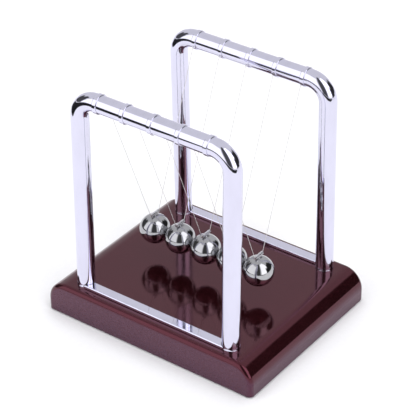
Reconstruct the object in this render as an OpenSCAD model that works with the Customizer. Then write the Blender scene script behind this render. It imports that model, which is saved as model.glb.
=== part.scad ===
// Desk pendulum set: five steel balls hang in a row from two chromed tube hoops
// that stand on a hollow moulded base. X runs along the row of balls, Y from the
// front hoop to the back hoop, Z up. The origin is on the table, under the middle.

/* [Base] */
// Length of the base along the row of balls
base_l = 174; // [168:1:190]
// Depth of the base from front to back
base_w = 138; // [134:1:160]
// Height of the base moulding
base_h = 23.6; // [22:0.2:30]
// Radius of the soft shoulders at the two ends
shoulder_r = 15; // [10:0.5:17]
// Radius of the edges that run round the front and back faces
edge_r = 3.5; // [3:0.25:5]
// Thickness of the moulded walls
wall = 2.5; // [2:0.1:3]
// How far the rubber feet stand out below the base
foot_proud = 1; // [0.6:0.1:1.4]

/* [Frames] */
// Distance between the two columns of one frame
frame_w = 123.4; // [121:0.2:126]
// Distance between the feet of the front and back frames
frame_gap = 112.4; // [110:0.2:114]
// Height of the top bar's axis over the base
frame_h = 148.4; // [140:0.2:170]
// Outer diameter of the tube
tube_d = 12.7; // [12:0.1:13.4]
// Wall thickness of the tube
tube_wall = 1.2; // [0.8:0.1:1.6]
// Radius of the two upper bends, at the tube's axis
bend_r = 14; // [12:0.5:17]
// Angle by which each frame leans in towards the balls
lean = 0.9; // [0:0.1:1.2]

/* [Thread rings] */
// Width of the narrow rings on the top bars
ring_w = 3.4; // [2.4:0.1:4]
// How far a ring stands proud of the tube
ring_proud = 0.6; // [0.5:0.05:1]
// Angle below level at which a thread leaves its ring
exit_angle = 15; // [5:1:40]

/* [Balls] */
// Diameter of a ball
ball_d = 22; // [20:0.5:22.5]
// Gap between neighbouring balls at rest
ball_gap = 0.2; // [0.1:0.05:0.4]
// Height of the ball centres over the base
ball_rise = 22.3; // [16:0.1:34]
// Diameter of the nylon thread
thread_d = 0.35; // [0.3:0.05:0.5]
// Length of the small tube that a thread passes through
eyelet_l = 8.6; // [7:0.1:10]
// Outer diameter of that tube
eyelet_d = 2.4; // [2.2:0.1:3]

/* [Hidden] */
$fn = 72;
fit_gap = 0.1;

base_top = foot_proud + base_h;
frame_x = frame_w / 2;
frame_y = frame_gap / 2;
tube_r = tube_d / 2;
bore_r = tube_r - tube_wall;

// Sockets, plugs and screws that hold the column ends
socket_depth = 13;
boss_wall = 2.4;
boss_floor = 3;
plug_l = 12;
frame_screw_r = 2;
frame_screw_l = 13;
frame_head_r = 3.8;
frame_head_h = 2.2;
frame_recess_l = 2.2;
frame_recess_h = 1.2;

// Slim flared collars at the feet of the columns
collar_r = tube_r + 0.25;
collar_h = 2.4;
collar_skirt = 1;
collar_lip = 0.04;
collar_fit = 0.05;
flare_drop = collar_h - collar_skirt;
flare_in = collar_r - tube_r - collar_lip;
flare_r = (flare_drop * flare_drop + flare_in * flare_in) / (2 * flare_in);

// Flat rails that lie on the base, a little outside the line of the columns
rail_w = 7.5;
rail_h = 2.8;
rail_round = 0.8;
rail_out = 2.5;
rail_y = frame_y + rail_out;
peg_r = 1.5;
peg_l = 4;
peg_x = 30;

// Bottom cover, its screws and the rubber feet
rim = 1.4;
cover_t = 2;
cover_screw_r = 1.45;
cover_screw_l = 9;
cover_head_r = 2.9;
cover_head_h = 1.4;
cover_recess_l = 1.6;
cover_recess_h = 0.8;
cover_boss_r = 3.4;
cover_screw_at = [[-76, -30], [-76, 30], [0, -60], [0, 60], [76, -30], [76, 30]];
foot_r = 6;
foot_h = 2;
foot_bevel = 0.5;
foot_bevel_h = foot_proud * 0.6;
foot_x = 70;
foot_y = 53;
recess_w = 0.7;
rib_t = 1.8;
rib_h = 8;

// Threads, knots and eyelets
ring_r = tube_r + ring_proud;
ring_round = 0.5;
thread_r = thread_d / 2;
thread_hole_r = 0.5;
thread_start = 0.6;
knot_r = 1.3;
thread_bend_r = thread_d / 2 + 0.01;
eyelet_r = eyelet_d / 2;
eyelet_bore_r = 0.6;
eyelet_neck_r = 1.1;
eyelet_rise = eyelet_r + 0.3;
ball_pitch = ball_d + ball_gap;
ball_z = base_top + ball_rise;
eyelet_z = ball_z + ball_d / 2 + eyelet_rise;
bar_half = frame_x - bend_r;

// Where a thread leaves its ring: inwards and upwards from the frame's foot
exit_in = ring_r * cos(exit_angle);
exit_up = frame_h - ring_r * sin(exit_angle);
anchor_y = frame_y - exit_in * cos(lean) - exit_up * sin(lean);
anchor_z = base_top + exit_up * cos(lean) - exit_in * sin(lean);
thread_end_y = eyelet_l / 2 + 0.35;
thread_end_z = eyelet_z + eyelet_bore_r - thread_r - 0.05;
thread_tilt = atan2(anchor_y - thread_end_y, anchor_z - thread_end_z);
thread_side = norm([anchor_y - thread_end_y, anchor_z - thread_end_z]) - thread_start;

function ball_x(i) = (i - 3) * ball_pitch;

// ---- Helpers ----

// Moves its children to a frame's foot and leans them in; side is -1 front, 1 back
module at_frame(side) {
    translate([0, side * frame_y, base_top]) rotate([side * lean, 0, 0]) children();
}

module at_column(side, end) {
    at_frame(side) translate([end * frame_x, 0, 0]) children();
}

// Points its children from the bar's axis along the way that thread i leaves
module at_thread_exit(side, i) {
    at_frame(side) translate([ball_x(i), 0, frame_h])
        rotate([side * (90 + exit_angle), 0, 0]) children();
}

// Outline of the base seen from the front, its lower edge on the X axis
module shoulder_profile(l, h, r) {
    translate([-l / 2, 0]) square([l, h - r]);
    translate([r - l / 2, h - r]) square([l - 2 * r, r]);
    for (end = [-1, 1])
        translate([end * (l / 2 - r), h - r]) intersection() {
            circle(r);
            translate([min(end, 0) * r, 0]) square(r);
        }
}

module quarter_disc(r) {
    intersection() {
        circle(r);
        square(r);
    }
}

// Stands a front view outline up and gives it the depth d, centred on Y
module upright(d) {
    rotate([90, 0, 0]) linear_extrude(d, center = true) children();
}

// Quarter round edge along the front face: over the top, the shoulders and the sides
module face_edge() {
    translate([shoulder_r - base_l / 2, 0, base_h - edge_r]) rotate([90, 0, 90])
        linear_extrude(base_l - 2 * shoulder_r) quarter_disc(edge_r);
    for (end = [0, 1]) mirror([end, 0, 0]) {
        translate([base_l / 2 - shoulder_r, 0, base_h - shoulder_r]) rotate([90, 0, 0])
            mirror([0, 0, 1]) rotate_extrude(angle = 90)
                translate([shoulder_r - edge_r, 0]) quarter_disc(edge_r);
        translate([base_l / 2 - edge_r, 0, 0])
            linear_extrude(base_h - shoulder_r) quarter_disc(edge_r);
    }
}

module base_block() {
    upright(base_w - 2 * edge_r) shoulder_profile(base_l, base_h, shoulder_r);
    upright(base_w)
        shoulder_profile(base_l - 2 * edge_r, base_h - edge_r, shoulder_r - edge_r);
    for (side = [0, 1]) mirror([0, side, 0])
        translate([0, base_w / 2 - edge_r, 0]) face_edge();
}

module rounded_plate(l, w, h, r) {
    linear_extrude(h) {
        square([l - 2 * r, w], center = true);
        for (end = [-1, 1]) {
            translate([end * (l / 2 - r / 2), 0]) square([r, w - 2 * r], center = true);
            for (side = [-1, 1])
                translate([end * (l / 2 - r), side * (w / 2 - r)]) intersection() {
                    circle(r);
                    translate([min(end, 0) * r, min(side, 0) * r]) square(r);
                }
        }
    }
}

// A cross cut into a screw head that faces down, from just below the head's face
module cross_recess(l, h) {
    for (turn = [0, 90]) rotate(turn)
        translate([-l, -recess_w / 2, -1]) cube([2 * l, recess_w, h + 1]);
}

// Flat bar seen end on, its lower face on the X axis
module rail_profile() {
    translate([-rail_w / 2, rail_round]) square([rail_w, rail_h - 2 * rail_round]);
    translate([rail_round - rail_w / 2, 0]) square([rail_w - 2 * rail_round, rail_h]);
    for (edge = [-1, 1], z = [rail_round, rail_h - rail_round])
        translate([edge * (rail_w / 2 - rail_round), z]) circle(rail_round, $fn = 48);
}

// ---- Base ----

module shell_bosses() {
    for (side = [-1, 1], end = [-1, 1]) at_column(side, end)
        translate([0, 0, -socket_depth - boss_floor])
            cylinder(r = tube_r + boss_wall, h = socket_depth + boss_floor);
    for (at = cover_screw_at) translate([at[0], at[1], foot_proud + cover_t])
        cylinder(r = cover_boss_r, h = base_h - cover_t);
}

module shell_ribs() {
    rib_z = base_top - wall - rib_h;
    for (end = [-1, 1]) translate([end * frame_x - rib_t / 2, 2 - base_w / 2, rib_z])
        cube([rib_t, base_w - 4, rib_h + 1]);
    for (side = [-1, 1]) translate([2 - base_l / 2, side * rail_y - rib_t / 2, rib_z])
        cube([base_l - 4, rib_t, rib_h + 1]);
}

module shell_holes() {
    for (side = [-1, 1], end = [-1, 1]) at_column(side, end) {
        translate([0, 0, -socket_depth]) cylinder(r = tube_r + fit_gap, h = socket_depth + 2);
        translate([0, 0, -socket_depth - boss_floor - 2])
            cylinder(r = frame_screw_r + 0.2, h = boss_floor + 4);
    }
    for (side = [-1, 1], end = [-1, 1])
        translate([end * peg_x, side * rail_y, base_top - peg_l - 0.5])
            cylinder(r = peg_r + fit_gap, h = peg_l + 1);
    for (at = cover_screw_at) translate([at[0], at[1], foot_proud])
        cylinder(r = cover_screw_r + 0.05, h = cover_screw_l + 1);
}

module base_shell() {
    color([0.36, 0.17, 0.2]) difference() {
        union() {
            difference() {
                translate([0, 0, foot_proud]) base_block();
                translate([0, 0, foot_proud - 1]) upright(base_w - 2 * wall)
                    shoulder_profile(base_l - 2 * wall, base_h - wall + 1, shoulder_r - wall);
            }
            intersection() {
                translate([0, 0, foot_proud]) upright(base_w - wall)
                    shoulder_profile(base_l - wall, base_h - wall / 2, shoulder_r - wall / 2);
                union() {
                    shell_bosses();
                    shell_ribs();
                }
            }
        }
        translate([0, 0, foot_proud - 1])
            rounded_plate(base_l - 2 * rim, base_w - 2 * rim, cover_t + 1, edge_r - rim);
        shell_holes();
    }
}

module base_cover() {
    color([0.2, 0.12, 0.13]) translate([0, 0, foot_proud]) difference() {
        rounded_plate(base_l - 2 * rim - 2 * fit_gap, base_w - 2 * rim - 2 * fit_gap,
            cover_t, edge_r - rim - fit_gap);
        for (end = [-1, 1], side = [-1, 1]) translate([end * foot_x, side * foot_y, -1])
            cylinder(r = foot_r + fit_gap, h = foot_h - foot_proud + 1);
        for (at = cover_screw_at) translate([at[0], at[1], 0]) {
            translate([0, 0, -1]) cylinder(r = cover_screw_r + 0.2, h = cover_t + 2);
            cylinder(r1 = cover_head_r + 0.15, r2 = cover_screw_r + 0.15,
                h = cover_head_h + 0.1);
        }
    }
}

module rubber_foot(end, side) {
    color([0.1, 0.1, 0.1]) translate([end * foot_x, side * foot_y, 0]) {
        cylinder(r1 = foot_r - foot_bevel, r2 = foot_r, h = foot_bevel_h);
        translate([0, 0, foot_bevel_h]) cylinder(r = foot_r, h = foot_h - foot_bevel_h);
    }
}

module cover_screws() {
    color([0.6, 0.6, 0.62]) for (at = cover_screw_at)
        translate([at[0], at[1], foot_proud]) difference() {
            union() {
                cylinder(r1 = cover_head_r, r2 = cover_screw_r, h = cover_head_h);
                cylinder(r = cover_screw_r, h = cover_screw_l);
            }
            cross_recess(cover_recess_l, cover_recess_h);
        }
}

module frame_screws() {
    color([0.6, 0.6, 0.62]) for (side = [-1, 1], end = [-1, 1]) at_column(side, end)
        translate([0, 0, -socket_depth - boss_floor]) difference() {
            union() {
                cylinder(r = frame_screw_r, h = frame_screw_l);
                translate([0, 0, -frame_head_h]) cylinder(r = frame_head_r, h = frame_head_h);
            }
            translate([0, 0, -frame_head_h]) cross_recess(frame_recess_l, frame_recess_h);
        }
}

// ---- Frames ----

module column_plugs() {
    color([0.25, 0.25, 0.26]) for (side = [-1, 1], end = [-1, 1]) at_column(side, end)
        translate([0, 0, -socket_depth + fit_gap]) difference() {
            cylinder(r = bore_r - 0.05, h = plug_l);
            translate([0, 0, -1]) cylinder(r = frame_screw_r + 0.05, h = plug_l + 2);
        }
}

module tube_ring() {
    difference() {
        circle(tube_r);
        circle(bore_r);
    }
}

module frame(side) {
    color([0.86, 0.86, 0.9]) difference() {
        at_frame(side) {
            for (end = [-1, 1]) translate([end * frame_x, 0, -socket_depth + fit_gap])
                linear_extrude(frame_h - bend_r + socket_depth - fit_gap) tube_ring();
            for (end = [0, 1]) mirror([end, 0, 0])
                translate([bar_half, 0, frame_h - bend_r]) rotate([90, 0, 0])
                    rotate_extrude(angle = 90) translate([bend_r, 0]) tube_ring();
            translate([-bar_half, 0, frame_h]) rotate([90, 0, 90])
                linear_extrude(2 * bar_half) tube_ring();
        }
        for (i = [1:5]) at_thread_exit(side, i) cylinder(r = thread_hole_r, h = ring_r + 2);
    }
}

// A flared foot whose lower face lies flat on the base
module column_collar(side, end) {
    color([0.86, 0.86, 0.9]) difference() {
        at_column(side, end) translate([0, 0, -1]) difference() {
            cylinder(r = collar_r, h = collar_h + 1);
            translate([0, 0, collar_h + 1]) rotate_extrude()
                translate([tube_r + collar_lip + flare_r, 0]) circle(flare_r, $fn = 360);
            translate([0, 0, -1]) cylinder(r = tube_r + 0.02, h = collar_h + 3);
        }
        translate([end * frame_x, side * frame_y, base_top - 10])
            cube([40, 40, 20], center = true);
    }
}

module foot_rail(side) {
    color([0.86, 0.86, 0.9]) {
        difference() {
            translate([0, side * rail_y, base_top]) rotate([90, 0, 90])
                linear_extrude(frame_w, center = true) rail_profile();
            for (end = [-1, 1]) at_column(side, end)
                cylinder(r = collar_r + collar_fit, h = 4 * rail_h, center = true);
        }
        for (end = [-1, 1]) translate([end * peg_x, side * rail_y, base_top - peg_l])
            cylinder(r = peg_r, h = peg_l);
    }
}

module thread_rings(side) {
    color([0.9, 0.9, 0.93]) difference() {
        at_frame(side) for (i = [1:5])
            translate([ball_x(i), 0, frame_h]) rotate([0, 90, 0]) difference() {
                translate([0, 0, -ring_w / 2]) rotate_extrude() {
                    square([ring_r - ring_round, ring_w]);
                    translate([0, ring_round]) square([ring_r, ring_w - 2 * ring_round]);
                    for (z = [ring_round, ring_w - ring_round])
                        translate([ring_r - ring_round, z]) circle(ring_round, $fn = 48);
                }
                cylinder(r = tube_r + 0.02, h = ring_w + 2, center = true);
            }
        for (i = [1:5]) at_thread_exit(side, i) cylinder(r = thread_hole_r, h = ring_r + 2);
    }
}

// Knots that sit inside the bar, each with the short end in the ring's hole
module thread_knots(side) {
    knot_at = bore_r - knot_r - 0.1;
    color([0.9, 0.92, 0.95]) for (i = [1:5]) at_thread_exit(side, i) {
        translate([0, 0, knot_at]) {
            sphere(knot_r, $fn = 32);
            cylinder(r = thread_r, h = ring_r - knot_at, $fn = 24);
        }
    }
}

// ---- Balls ----

module ball(i) {
    color([0.75, 0.75, 0.77]) translate([ball_x(i), 0, ball_z]) sphere(ball_d / 2, $fn = 96);
}

// Short tube across the top of a ball, on a neck that fits the ball's surface
module eyelet(i) {
    color([0.7, 0.7, 0.72]) difference() {
        translate([ball_x(i), 0, eyelet_z]) {
            rotate([90, 0, 0]) cylinder(r = eyelet_r, h = eyelet_l, center = true);
            translate([0, 0, -eyelet_rise - 0.5])
                cylinder(r = eyelet_neck_r, h = eyelet_rise + 0.5);
        }
        translate([ball_x(i), 0, ball_z]) sphere(ball_d / 2, $fn = 96);
        translate([ball_x(i), 0, eyelet_z]) rotate([90, 0, 0])
            cylinder(r = eyelet_bore_r, h = eyelet_l + 2, center = true);
    }
}

// One nylon thread: down from the front ring, through the eyelet, up to the back ring
module thread(i) {
    color([0.9, 0.92, 0.95]) translate([ball_x(i), 0, thread_end_z]) {
        rotate([90, 0, 0]) cylinder(r = thread_r, h = 2 * thread_end_y, center = true, $fn = 24);
        for (side = [-1, 1]) translate([0, side * thread_end_y, 0]) {
            sphere(thread_bend_r, $fn = 24);
            rotate([-side * thread_tilt, 0, 0])
                cylinder(r = thread_r, h = thread_side, $fn = 24);
        }
    }
}

base_shell();
base_cover();
rubber_foot(-1, -1);  // rubber_foot_front_left
rubber_foot(1, -1);  // rubber_foot_front_right
rubber_foot(-1, 1);  // rubber_foot_back_left
rubber_foot(1, 1);  // rubber_foot_back_right
cover_screws();
frame_screws();
column_plugs();
frame(-1);  // front_frame
frame(1);  // back_frame
column_collar(-1, -1);  // column_collar_front_left
column_collar(-1, 1);  // column_collar_front_right
column_collar(1, -1);  // column_collar_back_left
column_collar(1, 1);  // column_collar_back_right
foot_rail(-1);  // front_foot_rail
foot_rail(1);  // back_foot_rail
thread_rings(-1);  // front_thread_rings
thread_rings(1);  // back_thread_rings
thread_knots(-1);  // front_thread_knots
thread_knots(1);  // back_thread_knots
ball(1);  // ball_1
ball(2);  // ball_2
ball(3);  // ball_3
ball(4);  // ball_4
ball(5);  // ball_5
eyelet(1);  // eyelet_1
eyelet(2);  // eyelet_2
eyelet(3);  // eyelet_3
eyelet(4);  // eyelet_4
eyelet(5);  // eyelet_5
thread(1);  // thread_1
thread(2);  // thread_2
thread(3);  // thread_3
thread(4);  // thread_4
thread(5);  // thread_5
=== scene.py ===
"""Looks for the ball cradle: materials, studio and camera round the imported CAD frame."""
import math

import bpy
from mathutils import Matrix, Vector

MM = 0.001
BALLS = range(1, 6)
SIDES = ("front", "back")

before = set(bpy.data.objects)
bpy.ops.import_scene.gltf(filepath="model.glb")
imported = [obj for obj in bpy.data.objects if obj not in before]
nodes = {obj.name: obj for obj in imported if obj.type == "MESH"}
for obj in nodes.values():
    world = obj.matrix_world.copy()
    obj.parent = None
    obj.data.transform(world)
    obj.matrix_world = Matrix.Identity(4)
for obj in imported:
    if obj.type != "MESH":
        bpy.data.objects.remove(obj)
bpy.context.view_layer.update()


# ---- Camera ----

SENSOR_MM = 36.0
FOCAL_PER_PICTURE_WIDTH = 1804.4 / 420
CAMERA_AZIMUTH, CAMERA_ELEVATION, CAMERA_ROLL = 36.49, 33.43, -0.47
CAMERA_DISTANCE = 1.264
CAMERA_TARGET = (-0.0137, 0.0236, 0.0612)
NEAREST, FURTHEST = 0.01, 50.0


def make_camera():
    """A long lens from the front right, as high as the photograph was taken."""
    azimuth, elevation = math.radians(CAMERA_AZIMUTH), math.radians(CAMERA_ELEVATION)
    roll = math.radians(CAMERA_ROLL)
    target = Vector(CAMERA_TARGET)
    back = Vector((
        math.sin(azimuth) * math.cos(elevation),
        -math.cos(azimuth) * math.cos(elevation),
        math.sin(elevation),
    ))
    right = Vector((0, 0, 1)).cross(back).normalized()
    up = back.cross(right)
    turned_right = right * math.cos(roll) + up * math.sin(roll)
    turned_up = up * math.cos(roll) - right * math.sin(roll)
    data = bpy.data.cameras.new("camera")
    data.sensor_width = SENSOR_MM
    data.lens = FOCAL_PER_PICTURE_WIDTH * SENSOR_MM
    data.clip_start, data.clip_end = NEAREST, FURTHEST
    camera = bpy.data.objects.new("camera", data)
    bpy.context.scene.collection.objects.link(camera)
    turn = Matrix((turned_right, turned_up, back)).transposed().to_4x4()
    camera.matrix_world = Matrix.Translation(target + back * CAMERA_DISTANCE) @ turn
    bpy.context.scene.camera = camera


# ---- Node helpers ----

class Shader:
    """A small wrapper that adds and links nodes in one tree."""

    def __init__(self, tree):
        self.tree = tree
        tree.nodes.clear()

    def add(self, kind, inputs=None, **settings):
        node = self.tree.nodes.new(kind)
        for key, value in settings.items():
            setattr(node, key, value)
        for key, value in (inputs or {}).items():
            if isinstance(value, bpy.types.NodeSocket):
                self.tree.links.new(value, node.inputs[key])
            else:
                node.inputs[key].default_value = value
        return node

    def math(self, operation, a, b=0.0, c=0.0):
        return self.add("ShaderNodeMath", {0: a, 1: b, 2: c}, operation=operation).outputs[0]

    def remap(self, value, low, high, to_low=0.0, to_high=1.0):
        """A smooth step from to_low to to_high as the value goes from low to high."""
        node = self.add(
            "ShaderNodeMapRange",
            {"Value": value, "From Min": low, "From Max": high, "To Min": to_low, "To Max": to_high},
            interpolation_type="SMOOTHSTEP",
        )
        return node.outputs["Result"]

    def noise(self, vector, scale, detail=3.0, roughness=0.5):
        inputs = {"Vector": vector, "Scale": scale, "Detail": detail, "Roughness": roughness}
        return self.add("ShaderNodeTexNoise", inputs).outputs["Fac"]

    def stretch(self, vector, scale):
        return self.add("ShaderNodeMapping", {"Vector": vector, "Scale": scale}).outputs["Vector"]

    def blend(self, factor, a, b):
        node = self.add("ShaderNodeMix", data_type="RGBA")
        self.link(factor, node.inputs["Factor"])
        for value, socket in ((a, node.inputs[6]), (b, node.inputs[7])):
            self.link(value, socket)
        return node.outputs[2]

    def link(self, value, socket):
        if isinstance(value, bpy.types.NodeSocket):
            self.tree.links.new(value, socket)
        else:
            socket.default_value = value

    def bump(self, height, distance, strength=1.0, normal=None):
        inputs = {"Height": height, "Distance": distance, "Strength": strength}
        if normal is not None:
            inputs["Normal"] = normal
        return self.add("ShaderNodeBump", inputs).outputs["Normal"]


def new_material(name):
    """(material, shader, position in the row frame in metres)"""
    material = bpy.data.materials.new(name)
    material.use_nodes = True
    shader = Shader(material.node_tree)
    place = shader.add("ShaderNodeTexCoord").outputs["Object"]
    return material, shader, place


def close_material(shader, **inputs):
    principled = shader.add("ShaderNodeBsdfPrincipled")
    for key, value in inputs.items():
        shader.link(value, principled.inputs[key.replace("_", " ").strip()])
    shader.add("ShaderNodeOutputMaterial", {"Surface": principled.outputs["BSDF"]})


# ---- Materials ----

BURGUNDY = ((0.009, 0.0014, 0.0019, 1), (0.013, 0.0022, 0.0030, 1))
BURGUNDY_FLECK = (0.07, 0.018, 0.024, 1)
BURGUNDY_GLINT = (1.0, 0.32, 0.44, 1)
# Upright walls of the base: grain tones lightened towards lavender, a painted sheen standing in for the
# milky reflection off their satin grain.
WALL_GRAIN_AND_SHEEN = ((0.016, 0.011, 0.023, 1), (0.042, 0.030, 0.052, 1))
UPRIGHT, LEANING = 0.05, 0.3
CHROME = ((0.74, 0.73, 0.87, 1), (0.70, 0.69, 0.82, 1))
BALL_STEEL = ((0.46, 0.46, 0.47, 1), (0.42, 0.42, 0.44, 1))
NYLON = ((0.66, 0.63, 0.63, 1), (0.74, 0.71, 0.71, 1))
RUBBER = ((0.018, 0.018, 0.019, 1), (0.05, 0.048, 0.047, 1))
PAPER = ((0.90, 0.90, 0.905, 1), (0.92, 0.92, 0.925, 1))
CLOTH = ((0.006, 0.006, 0.007, 1), (0.014, 0.014, 0.015, 1))
COVER_BROWN = (0.035, 0.014, 0.017, 1)
PLUG_BLACK = (0.03, 0.03, 0.032, 1)
SCREW_STEEL = (0.50, 0.50, 0.52, 1)
EYELET_STEEL = (0.74, 0.73, 0.76, 1)


def base_plastic():
    """Burgundy moulding: glossy and slightly rippled on top, finely grained on the upright walls, whose
    colour also carries a painted lavender sheen.
    """
    material, s, place = new_material("base_plastic")
    facing = s.add("ShaderNodeTexCoord").outputs["Normal"]
    upward = s.add("ShaderNodeSeparateXYZ", {"Vector": facing}).outputs["Z"]
    wall = s.remap(upward, UPRIGHT, LEANING, 1.0, 0.0)
    flow = s.noise(place, 18.0, 4.0, 0.55)
    fleck = s.noise(place, 1500.0, 3.0, 0.7)
    colour = s.blend(s.remap(flow, 0.3, 0.7), *BURGUNDY)
    colour = s.blend(s.remap(fleck, 0.50, 0.72, 0.0, 0.5), colour, BURGUNDY_FLECK)
    # The walls' colour: grain tones plus a painted lavender sheen, blended in by the upright-wall mask.
    grain_and_sheen = s.blend(s.remap(fleck, 0.35, 0.65), *WALL_GRAIN_AND_SHEEN)
    colour = s.blend(wall, colour, grain_and_sheen)
    peel = s.noise(place, 420.0, 2.0, 0.4)
    normal = s.bump(peel, 0.00003, 0.3)
    normal = s.bump(fleck, 0.00002, 0.35, normal)
    rough = s.remap(s.noise(place, 60.0, 5.0, 0.6), 0.25, 0.75, 0.05, 0.10)
    rough = s.math("MULTIPLY_ADD", wall, 0.12, rough)
    close_material(
        s, Base_Color=colour, Roughness=rough, Normal=normal, IOR=1.8,
        Specular_Tint=BURGUNDY_GLINT,
    )
    return material


def moulded_plastic(name, colour, roughness, grain):
    """Satin moulding with a fine eroded grain."""
    material, s, place = new_material(name)
    grains = s.noise(place, grain, 4.0, 0.6)
    tint = s.noise(place, 35.0, 3.0, 0.5)
    light = tuple(min(1.0, c * 1.35) for c in colour[:3]) + (1,)
    shade = s.blend(s.remap(tint, 0.3, 0.7), colour, light)
    rough = s.remap(grains, 0.3, 0.7, roughness - 0.08, roughness + 0.1)
    close_material(s, Base_Color=shade, Roughness=rough, Normal=s.bump(grains, 0.00006, 0.6))
    return material


def chrome_plate():
    """Bright plate: a slow ripple from the buffed tube, smears, and dust-fine pits."""
    material, s, place = new_material("chrome_plate")
    ripple = s.noise(place, 55.0, 2.0, 0.4)
    smear = s.noise(s.stretch(place, (1.0, 1.0, 0.35)), 90.0, 5.0, 0.65)
    pits = s.noise(place, 2200.0, 2.0, 0.5)
    rough = s.remap(smear, 0.45, 0.8, 0.035, 0.11)
    colour = s.blend(s.remap(smear, 0.35, 0.75), *CHROME)
    normal = s.bump(ripple, 0.00012, 0.25)
    normal = s.bump(s.remap(pits, 0.72, 0.8), 0.00001, 0.3, normal)
    close_material(s, Base_Color=colour, Metallic=1.0, Roughness=rough, Normal=normal)
    return material


def ball_steel():
    """Mirror polished bearing steel with hair scratches and finger haze."""
    material, s, place = new_material("ball_steel")
    haze = s.noise(place, 120.0, 5.0, 0.7)
    hairs = s.noise(s.stretch(place, (1.0, 6.0, 0.6)), 1400.0, 3.0, 0.7)
    rough = s.remap(haze, 0.4, 0.8, 0.03, 0.10)
    colour = s.blend(s.remap(haze, 0.3, 0.7), *BALL_STEEL)
    normal = s.bump(s.remap(hairs, 0.6, 0.8), 0.000004, 0.3)
    close_material(s, Base_Color=colour, Metallic=1.0, Roughness=rough, Normal=normal)
    return material


def drawn_steel(name, colour, roughness):
    """Small steel hardware: drawn grain along the piece and dull patches."""
    material, s, place = new_material(name)
    grain = s.noise(s.stretch(place, (9.0, 1.0, 9.0)), 700.0, 3.0, 0.6)
    patch = s.noise(place, 240.0, 4.0, 0.6)
    dark = tuple(c * 0.7 for c in colour[:3]) + (1,)
    shade = s.blend(s.remap(patch, 0.35, 0.7), colour, dark)
    rough = s.remap(grain, 0.3, 0.7, roughness, roughness + 0.18)
    close_material(
        s, Base_Color=shade, Metallic=1.0, Roughness=rough, Normal=s.bump(grain, 0.00002, 0.5)
    )
    return material


def nylon():
    """Clear monofilament with a slightly milky core."""
    material, s, place = new_material("nylon")
    cloud = s.noise(place, 300.0, 3.0, 0.5)
    shade = s.blend(s.remap(cloud, 0.3, 0.7), *NYLON)
    rough = s.remap(cloud, 0.3, 0.7, 0.12, 0.25)
    close_material(s, Base_Color=shade, Roughness=rough, IOR=1.53, Alpha=0.8)
    return material


def foot_rubber():
    """Matt black rubber with a little dust."""
    material, s, place = new_material("foot_rubber")
    grain = s.noise(place, 1500.0, 4.0, 0.6)
    dust = s.noise(place, 90.0, 4.0, 0.6)
    shade = s.blend(s.remap(dust, 0.45, 0.75), *RUBBER)
    close_material(s, Base_Color=shade, Roughness=0.75, Normal=s.bump(grain, 0.00008, 0.6))
    return material


def floor_card():
    """Pale seamless paper."""
    material, s, place = new_material("floor_card")
    fibre = s.noise(place, 350.0, 4.0, 0.6)
    shade = s.blend(s.remap(fibre, 0.3, 0.7), *PAPER)
    close_material(s, Base_Color=shade, Roughness=0.85, Specular_IOR_Level=0.2)
    return material


def paint(names, material):
    for name in names:
        slots = nodes[name].data.materials
        slots.clear()
        slots.append(material)


def paint_frame():
    ends = [f"{side}_{end}" for side in SIDES for end in ("left", "right")]
    chrome = chrome_plate()
    paint(["base_shell"], base_plastic())
    paint(["base_cover"], moulded_plastic("cover_plastic", COVER_BROWN, 0.45, 1400.0))
    paint(["column_plugs"], moulded_plastic("plug_plastic", PLUG_BLACK, 0.4, 1800.0))
    paint([f"rubber_foot_{end}" for end in ends], foot_rubber())
    paint(["cover_screws", "frame_screws"], drawn_steel("screw_steel", SCREW_STEEL, 0.28))
    paint([f"{side}_{part}" for side in SIDES for part in ("frame", "foot_rail", "thread_rings")], chrome)
    paint([f"column_collar_{end}" for end in ends], chrome)
    paint([f"ball_{i}" for i in BALLS], ball_steel())
    paint([f"eyelet_{i}" for i in BALLS], drawn_steel("eyelet_steel", EYELET_STEEL, 0.16))
    line = nylon()
    paint([f"{side}_thread_knots" for side in SIDES], line)
    paint([f"thread_{i}" for i in BALLS], line)


# ---- Studio ----

FLOOR_HALF = 6.0
CLOTH_HEIGHT = MM
CLOTH_NEAR = ((-2.6, 0.25), (-0.60, 0.05), (-0.20, -0.34), (-0.37, -0.76), (-0.15, -0.85),
              (0.4, -0.80), (0.75, -0.2))
CLOTH_FAR = ((2.6, 0.10), (2.6, -3.0), (-2.6, -3.0))
WALL_RADIANCE = 0.78
WALL_TINT = (0.97, 0.97, 1.0, 1)
PANEL_EDGE = 3.0
# radiance, then the panel's box of directions: azimuth from and to, elevation from and to
PANELS = (
    (0.08, -102, -56, -9, 27),     # dark low wall on the left
    (0.08, -86, -62, -9, 42),      # gap beside the left box
    (1.50, -55, 6, -2, 56),        # left soft box
    (0.08, 12, 49, -9, 78),        # gap between the two boxes
    (2.20, 57, 96, 2, 74),         # right soft box
    (2.20, 90, 118, 33, 74),       # its upper half reaches further back
    (0.03, 98, 168, -9, 27),       # dark corner behind on the right
    (0.03, 116, 154, -9, 42),      # the middle of that corner stands taller
)
TOP_FILL_HEIGHT, TOP_FILL_SIZE, TOP_FILL_POWER = 2.2, 2.6, 25.0


def flat_stage(name, outline, height, material):
    """A staged sheet lying on or just above the ground."""
    mesh = bpy.data.meshes.new(name)
    points = [(x, y, height) for x, y in outline]
    mesh.from_pydata(points, [], [tuple(range(len(points)))])
    sheet = bpy.data.objects.new(name, mesh)
    bpy.context.scene.collection.objects.link(sheet)
    mesh.materials.append(material)
    return sheet


def make_floor():
    corners = [(x * FLOOR_HALF, y * FLOOR_HALF) for x, y in ((-1, -1), (1, -1), (1, 1), (-1, 1))]
    flat_stage("floor", corners, 0, floor_card())


def flag_cloth():
    """Matt black cloth with a visible weave."""
    material, s, place = new_material("flag_cloth")
    weave = s.noise(place, 800.0, 3.0, 0.6)
    shade = s.blend(s.remap(weave, 0.3, 0.7), *CLOTH)
    close_material(s, Base_Color=shade, Roughness=0.95, Specular_IOR_Level=0.05)
    return material


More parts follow.
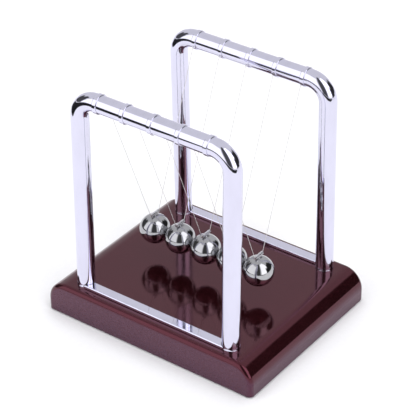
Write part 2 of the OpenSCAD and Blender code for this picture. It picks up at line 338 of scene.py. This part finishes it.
def make_flag():
    """Black cloth on the floor well in front. It shows only as the thin dark line in the chrome."""
    flag = flat_stage("flag", CLOTH_NEAR + CLOTH_FAR, CLOTH_HEIGHT, flag_cloth())
    flag.visible_camera = False
    flag.visible_shadow = False
    flag.visible_diffuse = False


def panel(s, azimuth, elevation, low_az, high_az, low_el, high_el):
    """1 inside a soft-edged box of directions, in degrees; azimuth 0 faces -Y and 90 faces +X."""
    edge = PANEL_EDGE
    inside = s.remap(azimuth, low_az - edge, low_az + edge)
    for value, low, high in ((azimuth, high_az + edge, high_az - edge),
                             (elevation, low_el - edge, low_el + edge),
                             (elevation, high_el + edge, high_el - edge)):
        inside = s.math("MULTIPLY", inside, s.remap(value, low, high))
    return inside


def make_studio():
    """A tent of grey walls with two large soft boxes and dark gaps, plain and pale where seen directly."""
    world = bpy.data.worlds.new("studio")
    bpy.context.scene.world = world
    world.use_nodes = True
    s = Shader(world.node_tree)
    way = s.add("ShaderNodeTexCoord").outputs["Generated"]
    split = s.add("ShaderNodeSeparateXYZ", {"Vector": way})
    x, y, z = (split.outputs[k] for k in "XYZ")
    azimuth = s.math("DEGREES", s.math("ARCTAN2", x, s.math("MULTIPLY", y, -1.0)))
    elevation = s.math("DEGREES", s.math("ARCSINE", z))
    level = WALL_RADIANCE
    for radiance, low_az, high_az, low_el, high_el in PANELS:
        inside = panel(s, azimuth, elevation, low_az, high_az, low_el, high_el)
        level = s.math("ADD", s.math("MULTIPLY", inside, radiance),
                       s.math("MULTIPLY", s.math("SUBTRACT", 1.0, inside), level))
    seen = s.add("ShaderNodeLightPath").outputs["Is Camera Ray"]
    level = s.math("MAXIMUM", level, seen)
    background = s.add("ShaderNodeBackground", {"Color": WALL_TINT, "Strength": level})
    s.add("ShaderNodeOutputWorld", {"Surface": background.outputs["Background"]})


def make_top_fill():
    """A large soft light overhead that lights the floor and plastics but isn't mirrored."""
    data = bpy.data.lights.new("top_fill", "AREA")
    data.shape, data.size, data.energy = "SQUARE", TOP_FILL_SIZE, TOP_FILL_POWER
    light = bpy.data.objects.new("top_fill", data)
    light.location = (0, 0, TOP_FILL_HEIGHT)
    light.visible_camera = False
    light.visible_glossy = False
    bpy.context.scene.collection.objects.link(light)


make_camera()
paint_frame()
make_floor()
make_flag()
make_studio()
make_top_fill()
bpy.context.scene.view_settings.view_transform = "Standard"
